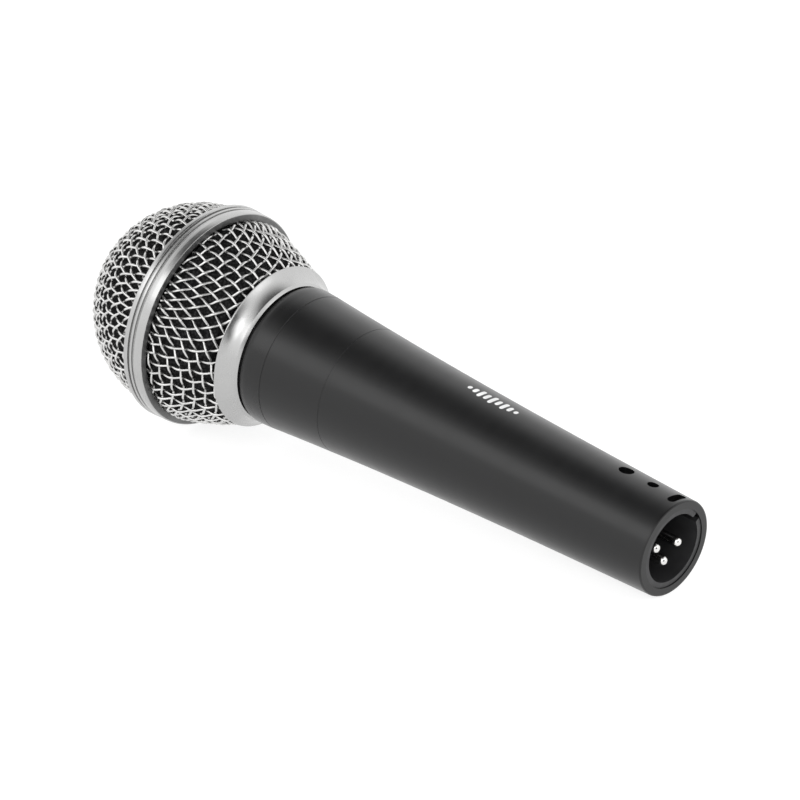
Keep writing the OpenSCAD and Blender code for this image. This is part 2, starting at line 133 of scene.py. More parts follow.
def mesh_r(z):
    """Outer radius of the lower mesh: its foot in the collar, the bulged cone, and its seat in the band."""
    u = (np.asarray(z, float) - COLLAR_TOP_Z) / (BAND_Z - COLLAR_TOP_Z)
    cone = CONE_LOW_R + (CONE_HIGH_R - CONE_LOW_R) * u + 4 * MESH_BULGE * u * (1 - u)
    foot = MESH_FOOT_R + (CONE_LOW_R - MESH_FOOT_R) * (z - MESH_FOOT_Z) / (COLLAR_TOP_Z - MESH_FOOT_Z)
    seat = CONE_HIGH_R + (DOME_R - CONE_HIGH_R) * np.clip((z - BAND_Z) / (CONE_TOP_Z - BAND_Z), 0, 1)
    return np.where(z < COLLAR_TOP_Z, foot, np.where(z > BAND_Z, seat, cone))


# ---- node materials ----


def fill_ramp(ramp, stops):
    """Give a colour ramp its stops: each is a position with a grey value or a colour."""
    elements = ramp.color_ramp.elements
    while len(elements) < len(stops):
        elements.new(0.5)
    for element, (at, value) in zip(elements, stops):
        element.position = at
        element.color = (*value, 1.0) if isinstance(value, tuple) else (value, value, value, 1.0)


class Nodes:
    """A small builder for one material's nodes."""

    def __init__(self, name, color, roughness, metallic=0.0, specular=0.5):
        self.material = bpy.data.materials.new(name)
        self.material.use_nodes = True
        self.tree = self.material.node_tree
        self.shader = next(n for n in self.tree.nodes if n.type == "BSDF_PRINCIPLED")
        self.set("Base Color", (*color, 1.0))
        self.set("Roughness", roughness)
        self.set("Metallic", metallic)
        self.set("Specular IOR Level", specular)
        self.color = color

    def set(self, socket, value):
        self.shader.inputs[socket].default_value = value

    def link(self, output, socket):
        self.tree.links.new(output, socket)

    def object_coordinates(self):
        return self.tree.nodes.new("ShaderNodeTexCoord").outputs["Object"]

    def axis_coordinates(self):
        """Object coordinates turned so that z runs along the microphone, in metres."""
        turn = self.tree.nodes.new("ShaderNodeMapping")
        turn.vector_type = "TEXTURE"
        turn.inputs["Rotation"].default_value = (0.0, math.atan2(AXIS[0], AXIS[2]), 0.0)
        self.link(self.object_coordinates(), turn.inputs["Vector"])
        return turn.outputs["Vector"]

    def noise(self, scale, detail=3.0, rough=0.5, vector=None):
        if vector is None:
            vector = self.object_coordinates()
        texture = self.tree.nodes.new("ShaderNodeTexNoise")
        texture.inputs["Scale"].default_value = scale
        texture.inputs["Detail"].default_value = detail
        texture.inputs["Roughness"].default_value = rough
        self.link(vector, texture.inputs["Vector"])
        return texture.outputs["Fac"]

    def vary(self, socket, fac, low, high, span):
        """Let a socket go from low to high while the factor goes through the span."""
        ramp = self.tree.nodes.new("ShaderNodeValToRGB")
        fill_ramp(ramp, [(span[0], low), (span[1], high)])
        self.link(fac, ramp.inputs["Fac"])
        self.link(ramp.outputs["Color"], self.shader.inputs[socket])

    def vary_color(self, fac, low, high, span=(0.35, 0.65)):
        """Let the colour's brightness vary between two shares of it."""
        darker, lighter = (tuple(channel * share for channel in self.color) for share in (low, high))
        self.vary("Base Color", fac, darker, lighter, span)

    def vary_roughness(self, fac, low, high, span=(0.35, 0.65)):
        self.vary("Roughness", fac, low, high, span)

    def bump(self, fac, distance, strength):
        bump = self.tree.nodes.new("ShaderNodeBump")
        bump.inputs["Strength"].default_value = strength
        bump.inputs["Distance"].default_value = distance
        self.link(fac, bump.inputs["Height"])
        self.link(bump.outputs["Normal"], self.shader.inputs["Normal"])


def paint(name, color, roughness):
    """Sprayed satin enamel: almost even, with a very fine orange peel."""
    m = Nodes(name, color, roughness, specular=0.42)
    m.vary_color(m.noise(60, 2), 0.95, 1.05)
    m.vary_roughness(m.noise(180, 2), roughness - 0.015, roughness + 0.02)
    m.bump(m.noise(2600, 2), 0.000006, 0.3)
    return m.material


def satin_metal(name, color, roughness, grain=900, depth=0.000008):
    """Turned metal: fine lines run round the axis, over a soft mottle."""
    m = Nodes(name, color, roughness, metallic=1.0)
    lines = m.tree.nodes.new("ShaderNodeMapping")
    lines.inputs["Scale"].default_value = (0.02, 0.02, 1.0)
    m.link(m.axis_coordinates(), lines.inputs["Vector"])
    turned = m.noise(grain * 6, 2, 0.6, lines.outputs["Vector"])
    m.vary_color(m.noise(120, 4), 0.95, 1.04)
    m.vary_roughness(m.noise(300, 3), roughness - 0.03, roughness + 0.04)
    m.bump(turned, depth, 0.3)
    return m.material


def cast(name, color, roughness, metallic=0.0, scale=700, depth=0.00001):
    """A plain moulded, plated or printed surface with a fine grain."""
    m = Nodes(name, color, roughness, metallic)
    m.vary_color(m.noise(scale * 0.3, 4), 0.88, 1.1)
    m.vary_roughness(m.noise(scale, 3), max(0.02, roughness - 0.06), min(1.0, roughness + 0.08))
    m.bump(m.noise(scale * 3, 3), depth, 0.4)
    return m.material


def foam(name):
    """Open-cell foam: a fine cell pattern in its colour and its bump."""
    m = Nodes(name, (0.026, 0.026, 0.0265), 0.95, specular=0.12)
    cells = m.tree.nodes.new("ShaderNodeTexVoronoi")
    cells.inputs["Scale"].default_value = 1500
    m.link(m.object_coordinates(), cells.inputs["Vector"])
    m.vary_color(cells.outputs["Distance"], 1.5, 0.35, (0.1, 0.6))
    m.bump(cells.outputs["Distance"], 0.0002, 0.8)
    return m.material


def wound(name):
    """Enamelled copper in turns round the axis, with painted shade in the grooves between the turns."""
    m = Nodes(name, (0.62, 0.28, 0.12), 0.3, metallic=1.0)
    wave = m.tree.nodes.new("ShaderNodeTexWave")
    wave.bands_direction = "Z"
    wave.inputs["Scale"].default_value = 2200
    wave.inputs["Distortion"].default_value = 0.2
    m.link(m.axis_coordinates(), wave.inputs["Vector"])
    m.bump(wave.outputs["Fac"], 0.00005, 0.8)
    # painted shade: the colour follows the bump, darker where it dips between the turns
    m.vary_color(wave.outputs["Fac"], 0.6, 1.1, (0.2, 0.7))
    return m.material


PAINT = paint("satin_black_enamel", (0.004, 0.004, 0.0043), 0.30)
PAINT_NECK = paint("satin_black_neck", (0.004, 0.004, 0.0043), 0.28)
WIRE = cast("nickel_wire", (0.63, 0.628, 0.62), 0.26, 1.0, 1400, 0.000006)
SATIN = satin_metal("satin_nickel_collar", (0.455, 0.455, 0.452), 0.26)
SATIN_BAND = satin_metal("satin_nickel_band", (0.45, 0.45, 0.447), 0.25, 1500)
# painted shade: the lip's nickel is far darker than the band's, for the shade under the band
LIP_PAINTED_SHADE = cast("dull_nickel_lip_painted_shade", (0.19, 0.19, 0.19), 0.5, 1.0, 500, 0.000004)
FOAM = foam("black_foam")
MARK = cast("printed_ink", (0.88, 0.88, 0.88), 0.45, 0.0, 900, 0.000004)

# The finish of each of the record's material slots.
FINISH = {
    "handle_paint": PAINT,
    "insert_plastic": cast("insert_moulding", (0.022, 0.022, 0.023), 0.46, 0.0, 400, 0.000003),
    "contact_silver": cast("silver_contact", (0.74, 0.735, 0.72), 0.12, 1.0, 1600, 0.000003),
    "screw_steel": cast("screw_steel", (0.45, 0.45, 0.46), 0.32, 1.0),
    "spring_brass": cast("spring_brass", (0.78, 0.57, 0.25), 0.28, 1.0),
    "lead_red": cast("lead_red", (0.45, 0.02, 0.015), 0.45),
    "lead_white": cast("lead_white", (0.75, 0.75, 0.72), 0.45),
    "mount_rubber": cast("mount_rubber", (0.02, 0.02, 0.02), 0.75, 0.0, 500, 0.00003),
    "capsule_plastic": cast("capsule_plastic", (0.03, 0.03, 0.032), 0.5),
    "chamber_metal": cast("chamber_metal", (0.62, 0.62, 0.62), 0.35, 1.0),
    "board_fibre": cast("board_fibre", (0.25, 0.14, 0.05), 0.6, 0.0, 300),
    "lug_tin": cast("lug_tin", (0.78, 0.76, 0.70), 0.3, 1.0),
    "motor_steel": cast("motor_steel", (0.5, 0.5, 0.52), 0.3, 1.0),
    "magnet_nickel": cast("magnet_nickel", (0.66, 0.65, 0.62), 0.2, 1.0),
    "coil_copper": wound("coil_copper"),
    "film_clear": cast("film_clear", (0.62, 0.56, 0.40), 0.2, 0.0, 500, 0.000003),
    "clamp_brass": cast("clamp_brass", (0.75, 0.55, 0.24), 0.3, 1.0),
    "screen_mesh": cast("screen_mesh", (0.6, 0.6, 0.6), 0.35, 1.0, 2500, 0.00005),
    "foam_black": FOAM,
    "satin_nickel": SATIN,
    "mesh_wire": WIRE,
}

for node in frame["nodes"].values():
    for slot in node.material_slots:
        base = slot.material.name.split(".")[0] if slot.material else ""
        slot.material = FINISH.get(base, slot.material)

# ---- mesh helpers ----


def new_piece(name, verts, faces, material, body, smooth=True, sharp=35.0):
    """A mesh piece that rides on a body, with edges steeper than sharp left hard."""
    mesh = bpy.data.meshes.new(name)
    mesh.from_pydata([tuple(v) for v in verts], [], [tuple(int(i) for i in f) for f in faces])
    mesh.validate()
    obj = bpy.data.objects.new(name, mesh)
    scene.collection.objects.link(obj)
    mesh.materials.append(material)
    if smooth:
        mesh.polygons.foreach_set("use_smooth", [True] * len(mesh.polygons))
        mesh.set_sharp_from_angle(angle=math.radians(sharp))
    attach(obj, body)
    return obj


def even_faces(piece, weld=0.0):
    """Turn every face outwards, and join points closer than weld."""
    mesh = bmesh.new()
    mesh.from_mesh(piece.data)
    if weld:
        bmesh.ops.remove_doubles(mesh, verts=mesh.verts, dist=weld)
    bmesh.ops.recalc_face_normals(mesh, faces=mesh.faces)
    mesh.to_mesh(piece.data)
    mesh.free()


def fillet(outline, steps=5):
    """The points (r, z) of a closed outline of (r, z, corner radius), with its corners rounded."""
    points = []
    for i, (r, z, size) in enumerate(outline):
        corner = np.array((r, z))
        back = np.array(outline[i - 1][:2]) - corner
        on = np.array(outline[(i + 1) % len(outline)][:2]) - corner
        back_length, on_length = np.linalg.norm(back), np.linalg.norm(on)
        back, on = back / back_length, on / on_length
        angle = math.acos(max(-1.0, min(1.0, float(back @ on))))
        if size <= 0 or angle > math.pi - 0.02:
            points.append((r, z))
            continue
        cut = min(size / math.tan(angle / 2), 0.48 * back_length, 0.48 * on_length)
        start, end = corner + back * cut, corner + on * cut
        for t in np.arange(steps + 1) / steps:
            points.append(tuple((1 - t) ** 2 * start + 2 * t * (1 - t) * corner + t**2 * end))
    return points


def turned_grid(outline, segments):
    """Rings of points on the microphone's axes, one for each (r, z) of a closed outline, and their faces."""
    line = np.array(outline)
    r, z = line[:, 0], line[:, 1:2]
    angle = np.arange(segments) * 2 * math.pi / segments
    rings = np.stack([np.outer(r, np.cos(angle)), np.outer(r, np.sin(angle)), np.repeat(z, segments, 1)], -1)
    i, k = np.meshgrid(np.arange(len(line)), np.arange(segments), indexing="ij")
    j, m = (i + 1) % len(line), (k + 1) % segments
    faces = np.stack([i * segments + k, i * segments + m, j * segments + m, j * segments + k], -1)
    return rings, faces.reshape(-1, 4)


def copy_of(node, name, material):
    """A piece with a CAD node's own mesh, which stands for the node. It doesn't ride on a body yet."""
    piece = bpy.data.objects.new(name, frame["nodes"][node].data.copy())
    scene.collection.objects.link(piece)
    piece.data.materials.clear()
    piece.data.materials.append(material)
    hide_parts(node)
    return piece


# ---- painted tubes: the CAD shapes, without the crease where a turned surface closes on itself ----

SAME_FACE = math.cos(math.radians(8.0))  # normals closer than this, at one point, are one smooth surface


def smooth_seams(mesh):
    """Average the corner normals that nearly agree at each point, so that the shading runs on over a seam."""
    corner_point = np.array([mesh.vertices[c.vertex_index].co[:] for c in mesh.loops])
    normals = np.array([n.vector[:] for n in mesh.corner_normals])
    _, point = np.unique(np.round(corner_point / 1e-6).astype(np.int64), axis=0, return_inverse=True)
    point = point.ravel()
    order = np.argsort(point, kind="stable")
    smooth = normals.copy()
    for corners in np.split(order, np.flatnonzero(np.diff(point[order])) + 1):
        kinds = np.unique(np.round(normals[corners], 4), axis=0)
        for corner in corners:
            near = kinds[kinds @ normals[corner] > SAME_FACE]
            total = near.sum(0) if len(near) else normals[corner]
            smooth[corner] = total / np.linalg.norm(total)
    mesh.normals_split_custom_set([tuple(n) for n in smooth])


PAINTED = (
    ("handle_body", "painted_handle", PAINT),
    ("neck_ring", "painted_neck", PAINT_NECK),
)
for node, name, material in PAINTED:
    piece = copy_of(node, name, material)
    smooth_seams(piece.data)
    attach(piece, "handle")

# ---- the front rubber mount and the two leads, as copies of the CAD nodes ----

# Node, copy, slot, then two heights up the axis: the handle's side up to the first, the capsule's from the
# second.
GIVING = (
    ("shock_mount_front", "rubber_mount", "mount_rubber", 120.3, 121.3),
    ("lead_hot", "red_lead", "lead_red", 70.0, 91.0),
    ("lead_cold", "white_lead", "lead_white", 70.0, 91.0),
)
for node, name, slot, start_z, end_z in GIVING:
    piece = copy_of(node, name, FINISH[slot])
    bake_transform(piece)

# ---- woven wire: a flat square weave laid over a turned form ----

WIRE_R = 0.305
CRIMP = 0.395  # how far a wire swings in and out as it passes over and under
MID = WIRE_R + CRIMP  # the weave's middle surface, below its outer crests
FORM_STEP = 0.05  # distance between the points of a form's outline
WEAVE_FOOT_Z = 119.0  # inside the collar, the lower weave's form turns flat here
TUCK_Z = 134.3  # above this, the cone's wires turn in behind the band's lower edge
TUCK = 0.55
PER_CELL = 12  # rings along a wire from one crossing to the next
SIDES = 8


def form_dome():
    """Arc length, radius and height of the dome's middle surface, from its pole."""
    r = DOME_R - MID
    arc_length = np.arange(0, r * math.pi / 2, FORM_STEP)
    skirt_length = np.arange(0, DOME_Z - SKIRT_Z + 3, FORM_STEP)
    angle = arc_length / r
    return (
        np.r_[arc_length, skirt_length + r * math.pi / 2],
        np.r_[r * np.sin(angle), np.full(len(skirt_length), r)],
        np.r_[DOME_Z + r * np.cos(angle), DOME_Z - skirt_length],
    )


def form_cone(soft_steps=40):
    """The same for the lower mesh, which is drawn up from a flat disc. Its corners are softened."""
    z = np.linspace(WEAVE_FOOT_Z, BAND_Z, 200)
    u = (z - COLLAR_TOP_Z) / (BAND_Z - COLLAR_TOP_Z)
    bulge = 4 * MESH_BULGE * u * np.clip(1 - u, 0, None) * (u > 0)
    r = CONE_LOW_R + (CONE_HIGH_R - CONE_LOW_R) * u + bulge - MID
    disc = [(q, WEAVE_FOOT_Z) for q in np.linspace(0, r[0], 60)[:-1]]
    line = np.array(disc + list(zip(r, z)) + [(DOME_R - MID, CONE_TOP_Z)])
    along = np.r_[0, np.cumsum(np.hypot(*np.diff(line, axis=0).T))]
    even = np.arange(0, along[-1], FORM_STEP)
    window = np.hanning(2 * soft_steps + 1)
    window /= window.sum()

    def soften(values, mirror):
        before = mirror * values[1 : soft_steps + 1][::-1]
        after = 2 * values[-1] - values[-soft_steps - 1 : -1][::-1]
        return np.convolve(np.r_[before, values, after], window, "valid")

    radius = soften(np.interp(even, along, line[:, 0]), -1)
    height = soften(np.interp(even, along, line[:, 1]), 1)
    return np.r_[0, np.cumsum(np.hypot(np.diff(radius), np.diff(height)))], radius, height


def drape(form, pitch, offset, half, shear=0.02, bend=0.2, steps=1500, drag=0.85, pull=0.1, most=0.3):
    """Crossings of a square weave, relaxed on the form: wires keep their length and resist bending sideways.

    A crossing's place on the form is its arc length from the pole and its angle round the axis.
    Crossings past the form's end are nan.
    """
    s_form, r_form, z_form = form
    index = np.arange(-half, half + 1)
    flat_x, flat_y = np.meshgrid((index + offset[0]) * pitch, (index + offset[1]) * pitch, indexing="ij")
    keep = np.hypot(flat_x, flat_y) < s_form[-1] + pitch
    number = -np.ones(keep.shape, int)
    number[keep] = np.arange(keep.sum())
    s, phi = np.hypot(flat_x, flat_y)[keep], np.arctan2(flat_y, flat_x)[keep]
    count = len(s)

    def numbers(*slices):
        """The numbers of the crossings that the slices pick, where all of them are on the form."""
        both = np.logical_and.reduce([keep[part] for part in slices])
        return np.stack([number[part][both] for part in slices], -1)

    # springs along the wires, and weak ones across the cells
    late, early, every = slice(1, None), slice(None, -1), slice(None)
    pairs, rest, stiff = [], [], []
    for a, b, length, strength in (
        ((late, every), (early, every), pitch, 1.0),
        ((every, late), (every, early), pitch, 1.0),
        ((late, late), (early, early), pitch * math.sqrt(2), shear),
        ((late, early), (early, late), pitch * math.sqrt(2), shear),
    ):
        pairs.append(numbers(a, b))
        rest.append(np.full(len(pairs[-1]), length))
        stiff.append(np.full(len(pairs[-1]), strength))
    pairs = np.concatenate(pairs)
    rest, stiff = np.concatenate(rest)[:, None], np.concatenate(stiff)[:, None]

    # three crossings in a row on one wire resist a bend
    one, two, three = slice(0, -2), slice(1, -1), slice(2, None)
    rows = numbers((one, every), (two, every), (three, every))
    columns = numbers((every, one), (every, two), (every, three))
    bends = np.concatenate([rows, columns])
    bent = bends.T.reshape(-1)

    slope_r, slope_z = np.gradient(r_form, s_form), np.gradient(z_form, s_form)
    end = -np.sign(z_form[-2] - z_form[-1])

    def at(s, phi):
        r = np.interp(s, s_form, r_form)
        beyond = end * np.clip(s - s_form[-1], 0, None)
        return np.stack([r * np.cos(phi), r * np.sin(phi), np.interp(s, s_form, z_form) + beyond], -1)

    speed_s, speed_phi = np.zeros(count), np.zeros(count)
    for _ in range(steps):
        p = at(s, phi)
        gap = p[pairs[:, 0]] - p[pairs[:, 1]]
        length = np.linalg.norm(gap, axis=1, keepdims=True) + 1e-9
        tension = stiff * (length - rest) / length * gap
        curve = p[bends[:, 0]] - 2 * p[bends[:, 1]] + p[bends[:, 2]]
        unbend = bend * np.concatenate([-curve, 2 * curve, -curve])
        force = [
            np.bincount(pairs[:, 1], tension[:, k], count)
            - np.bincount(pairs[:, 0], tension[:, k], count)
            + np.bincount(bent, unbend[:, k], count)
            for k in range(3)
        ]
        cos, sin = np.cos(phi), np.sin(phi)
        along_r, along_z = np.interp(s, s_form, slope_r), np.interp(s, s_form, slope_z)
        down = force[0] * along_r * cos + force[1] * along_r * sin + force[2] * along_z
        round_axis = -force[0] * sin + force[1] * cos
        speed_s = drag * speed_s + pull * down
        speed_phi = drag * speed_phi + pull * round_axis
        s = np.maximum(s + np.clip(speed_s, -most, most), 0.01)
        r = np.maximum(np.interp(s, s_form, r_form), 0.4 * pitch)
        phi = phi + np.clip(speed_phi, -most, most) / r
    crossings = np.full((*keep.shape, 3), np.nan)
    crossings[keep] = at(s, phi)
    return crossings


def curve_through(points):
    """A smooth curve through a wire's crossings. Also the place of each of its points, counted in cells."""
    p = np.vstack([2 * points[0] - points[1], points, 2 * points[-1] - points[-2]])
    t = np.linspace(0, 1, PER_CELL, endpoint=False)[:, None]
    spans = []
    for i in range(1, len(p) - 2):
        a, b, c, d = p[i - 1 : i + 3]
        cubic = (3 * b - a - 3 * c + d) * t**3
        spans.append(0.5 * (2 * b + (c - a) * t + (2 * a - 5 * b + 4 * c - d) * t**2 + cubic))
    spans.append(p[-2][None])
    return np.vstack(spans), np.arange((len(p) - 3) * PER_CELL + 1) / PER_CELL


def tube(path, normal):
    """Points and faces of a wire swept along a path, with two flat ends."""
    ahead = np.gradient(path, axis=0)
    ahead /= np.linalg.norm(ahead, axis=1, keepdims=True)
    across = np.cross(ahead, normal)
    across /= np.linalg.norm(across, axis=1, keepdims=True)
    out = np.cross(across, ahead)
    angle = (np.arange(SIDES) * 2 * math.pi / SIDES)[None, :, None]
    points = path[:, None] + WIRE_R * (np.cos(angle) * out[:, None] + np.sin(angle) * across[:, None])
    i, k = np.meshgrid(np.arange(len(path) - 1) * SIDES, np.arange(SIDES), indexing="ij")
    j = (k + 1) % SIDES
    walls = np.stack([i + SIDES + k, i + SIDES + j, i + j, i + k], -1)
    first_end = list(range(SIDES))
    last_end = [(len(path) - 1) * SIDES + x for x in reversed(range(SIDES))]
    return points.reshape(-1, 3), walls.reshape(-1, 4).tolist() + [first_end, last_end]


def weave_piece(name, crossings, along_rows, turn, over, z_range, on_form):
    """All the wires of one direction of a weave, each swept along its crimped path.

    The weave's own x axis stands at the angle turn from the top, towards the camera.
    When over is 0, the rows lie on top at the even crossings.
    """
    half = crossings.shape[0] // 2
    side = 1.0 if along_rows else -1.0
    verts, faces = [], []
    count = 0
    for wire in range(crossings.shape[0]):
        row = crossings[wire] if along_rows else crossings[:, wire]
        run = np.flatnonzero(np.isfinite(row[:, 0]))
        if len(run) < 3:
            continue
        path, where = curve_through(row[run[0] : run[-1] + 1])
        path, normal = on_form(path)
        phase = math.pi * (where + run[0] - half + (wire - half) + over)
        lifted = path + normal * (side * CRIMP * np.cos(phase))[:, None]
        inside = (lifted[:, 2] > z_range[0]) & (lifted[:, 2] < z_range[1])
        edges = np.flatnonzero(np.diff(np.r_[0, inside.astype(int), 0]))
        for start, stop in zip(edges[::2], edges[1::2]):
            if stop - start < PER_CELL // 2:
                continue
            points, walls = tube(lifted[start:stop], normal[start:stop])
            verts.append(points)
            faces.extend([count + i for i in face] for face in walls)
            count += len(points)
    v = np.vstack(verts)
    c, s = math.cos(turn), math.sin(turn)
    v = np.stack([v[:, 0] * c - v[:, 1] * s, -(v[:, 0] * s + v[:, 1] * c), v[:, 2]], -1)
    return new_piece(name, place(v), faces, WIRE, "grille", sharp=80.0)


def on_dome(p):
    """Points brought onto the dome's middle surface, and its normals there."""
    offset = p - np.array([0, 0, DOME_Z])
    below = offset[:, 2] < 0
    offset[below, 2] = 0
    normal = offset / np.linalg.norm(offset, axis=1, keepdims=True)
    surface = np.array([0, 0, DOME_Z]) + normal * (DOME_R - MID)
    surface[below, 2] = p[below, 2]
    return surface, normal


def on_cone(p, step=0.05):
    """The same for the lower mesh."""
    z = p[:, 2]
    turn_in = np.clip((z - TUCK_Z) / (BAND_FOOT_Z - TUCK_Z), 0, 1)
    tuck = TUCK * turn_in**2 * (3 - 2 * turn_in)
    wall = mesh_r(np.clip(z, MESH_FOOT_Z - 1, CONE_TOP_Z)) - MID - tuck
    near_z = np.clip(z, COLLAR_TOP_Z, BAND_Z - step)
    slope = (mesh_r(near_z + step) - mesh_r(near_z)) / step
    out = p[:, :2] / np.maximum(np.hypot(p[:, 0], p[:, 1]), 1e-6)[:, None]
    length = np.sqrt(1 + slope**2)
    normal = np.stack([out[:, 0] / length, out[:, 1] / length, -slope / length], -1)
    surface = p.copy()
    on_wall = z > MESH_FOOT_Z - 0.5
    surface[on_wall, :2] = out[on_wall] * wall[on_wall, None]
    return surface, normal


cone_net = drape(form_cone(), pitch=2.729, offset=(0.455, 0.057), half=15)
dome_net = drape(form_dome(), pitch=2.691, offset=(1.044, 0.776), half=17)
CONE_TURN = math.radians(14.46)
DOME_TURN = math.radians(14.88)
CONE_SPAN = (MESH_FOOT_Z + 0.1, BAND_FOOT_Z + 0.2)
DOME_SPAN = (SKIRT_Z + 0.3, DOME_Z + DOME_R)
for label, rows in (("warp", True), ("weft", False)):
    piece = weave_piece("cone_" + label, cone_net, rows, CONE_TURN, 1, CONE_SPAN, on_cone)
    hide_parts("cone_mesh")
    piece = weave_piece("dome_" + label, dome_net, rows, DOME_TURN, 0, DOME_SPAN, on_dome)
    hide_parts("dome_mesh")

# ---- turned rings: outlines of (r, z, corner radius) ----


def flare(foot, waist, rim, steps=24):
    """A curve that leaves foot towards waist and comes to rim from it."""
    t = np.linspace(0, 1, steps)[:, None]
    line = (1 - t) ** 2 * np.array(foot) + 2 * t * (1 - t) * np.array(waist) + t**2 * np.array(rim)
    return [(r, z, 0.0) for r, z in line]


# The collar: a chamfered lower edge, and a flare that runs up to a thin rim. Behind the rim are the groove
# that the mesh stands in and an inner lip.
COLLAR_RIM_R = 19.62
COLLAR_CHAMFER = 0.3
GROOVE_Z = 118.89
COLLAR_FACE = [
    (COLLAR_BORE_R, COLLAR_Z, 0.0),
    (16.38, COLLAR_Z, 0.08),
    (16.93, COLLAR_Z + 0.62, 0.08),
    *flare((17.0, COLLAR_Z + 0.85), (17.85, COLLAR_Z + 2.7), (COLLAR_RIM_R - 0.17, COLLAR_TOP_Z - 0.28)),
    (COLLAR_RIM_R, COLLAR_TOP_Z - 0.08, 0.05),
    (COLLAR_RIM_R - 0.12, COLLAR_TOP_Z, 0.04),
    (COLLAR_RIM_R - 0.26, COLLAR_TOP_Z, 0.0),
    (MESH_FOOT_R + 0.06, GROOVE_Z, 0.0),
    (COLLAR_LIP_R + 0.2, GROOVE_Z, 0.0),
    (COLLAR_LIP_R, GROOVE_Z + 0.46, 0.0),
    (COLLAR_LIP_R, COLLAR_LIP_Z, 0.0),
    (COLLAR_BORE_R + COLLAR_CHAMFER, COLLAR_LIP_Z, 0.0),
    (COLLAR_BORE_R, COLLAR_LIP_Z - COLLAR_CHAMFER, 0.0),
]

# The band: a flat lower edge, a wide crowned face, a fine-ridged groove, a rib, a deep groove and the rim.
RIDGE_R = 25.58
RIDGE_H = 0.12
RIDGE_PITCH = 0.1
RIDGE_Z = 138.42
RIB_R = 26.1
GROOVE_R = 25.55
BAND_FACE = [
    (BAND_SEAT_R, BAND_FOOT_Z, 0.0),
    (25.92, BAND_FOOT_Z, 0.12),
    (26.0, BAND_FOOT_Z + 0.7, 0.6),
    (26.05, BAND_FOOT_Z + 1.25, 0.6),
    (26.03, RIDGE_Z - 0.09, 0.06),
    *((RIDGE_R + RIDGE_H * (i % 2), RIDGE_Z + RIDGE_PITCH * i, 0.02) for i in range(6)),
    (RIB_R - 0.02, 139.0, 0.05),
    (RIB_R, 139.56, 0.06),
    (GROOVE_R, 139.68, 0.06),
    (GROOVE_R, 140.16, 0.06),
    (RIB_R, 140.24, 0.07),
    (BAND_R, 140.6, 0.3),
    (BAND_R, BAND_TOP_Z - 0.22, 0.1),
    (BAND_R - 0.22, BAND_TOP_Z, 0.1),
    (BAND_SEAT_R, BAND_TOP_Z, 0.0),
]

# A dull lip under the band hides the ends of the cone's wires. Its dark colour is painted shade.
LIP_R = 24.3
LIP_OUTER_R = 25.7
LIP_SEAT_R = BAND_SEAT_R - 0.05
LIP_FACE = [
    (LIP_OUTER_R, BAND_FOOT_Z - 0.03, 0.0),
    (LIP_OUTER_R, BAND_FOOT_Z + 0.2, 0.0),
    (LIP_SEAT_R, BAND_FOOT_Z + 0.2, 0.0),
    (LIP_SEAT_R, BAND_FOOT_Z + 0.5, 0.0),
    (LIP_R, BAND_FOOT_Z + 0.5, 0.1),
    (LIP_R, BAND_FOOT_Z - 0.03, 0.08),
]

TURNED = (
    ("turned_collar", COLLAR_FACE, SATIN, "grille_collar"),
    ("turned_band", BAND_FACE, SATIN_BAND, "grille_band"),
    ("band_lip", LIP_FACE, LIP_PAINTED_SHADE, "grille_band"),
)
for name, outline, material, node in TURNED:
    rings, faces = turned_grid(fillet(outline), 240)
    piece = new_piece(name, place(rings), faces, material, "grille")
    even_faces(piece)
    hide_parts(node)

# ---- foam lining ----

PIT_DEPTH = 0.22
PIT_SCALE = 0.9  # the coarse pits, per millimetre
FINE_PIT_SCALE = 2.1


def foam_piece(name, outer, inner, node, segments=340):
    """A foam shell with a pitted outer face: the outer outline runs up the axis, the inner one back down."""
    rings, faces = turned_grid(outer + inner, segments)
    line = np.array(outer)
    run = np.gradient(line, axis=0)
    run /= np.linalg.norm(run, axis=1, keepdims=True)
    face = rings[: len(outer)]
    around = face[..., :2] / np.maximum(np.hypot(face[..., 0], face[..., 1]), 1e-6)[..., None]
    for i in range(len(outer)):
        for k in range(segments):
            p = Vector(face[i, k])
            pit = abs(noise.noise(p * PIT_SCALE)) + 0.8 * abs(noise.noise(p * FINE_PIT_SCALE))
            cut = PIT_DEPTH * min(1.0, pit * 1.6)
            face[i, k, :2] -= cut * run[i, 1] * around[i, k]
            face[i, k, 2] += cut * run[i, 0]
    piece = new_piece(name, place(rings), faces[:, ::-1], FOAM, "foam_liner", sharp=60.0)
    even_faces(piece, 1e-6)
    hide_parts(node)


def arc(radius, start, stop, steps):
    """Points (r, z) on the dome's circle, by the angle up from its rim."""
    angles = np.linspace(start, stop, steps)
    return [(radius * math.cos(a), DOME_Z + radius * math.sin(a)) for a in angles]


def cone_line(depth, steps):
    """Points (r, z) up the lower lining, at a depth below its outer face."""
    z = np.linspace(FOAM_LOW_Z, FOAM_SPLIT_Z - 0.1, steps)
    r = mesh_r(np.minimum(z, BAND_Z)) - MESH_T - FOAM_GAP - depth
    return list(zip(r, z))


foam_r = DOME_R - MESH_T - FOAM_GAP
foam_inner_r = foam_r - FOAM_T - 0.6
skirt = [(FOAM_SKIRT_R, z) for z in np.linspace(FOAM_SPLIT_Z, DOME_Z, 10)]
foam_piece(
    "foam_dome_lining",
    skirt + arc(foam_r, 0.02, math.pi / 2, 90),
    arc(foam_inner_r, math.pi / 2, 0.0, 24) + [(foam_inner_r, FOAM_SPLIT_Z)],
    "foam_dome",
)
foam_piece("foam_cone_lining", cone_line(0.0, 60), cone_line(FOAM_T, 12)[::-1], "foam_cone")

# ---- a plain sound level symbol, printed on the handle ----

MARK_Z = 55.0
MARK_TURN = math.radians(-4.5)  # from the top, towards the camera
MARK_T = 0.02
BAR_W = 1.0
BAR_PITCH = 1.7
BAR_LENGTHS = (1.3, 2.2, 3.2, 2.4, 3.6, 2.6, 3.2, 2.0, 1.3)


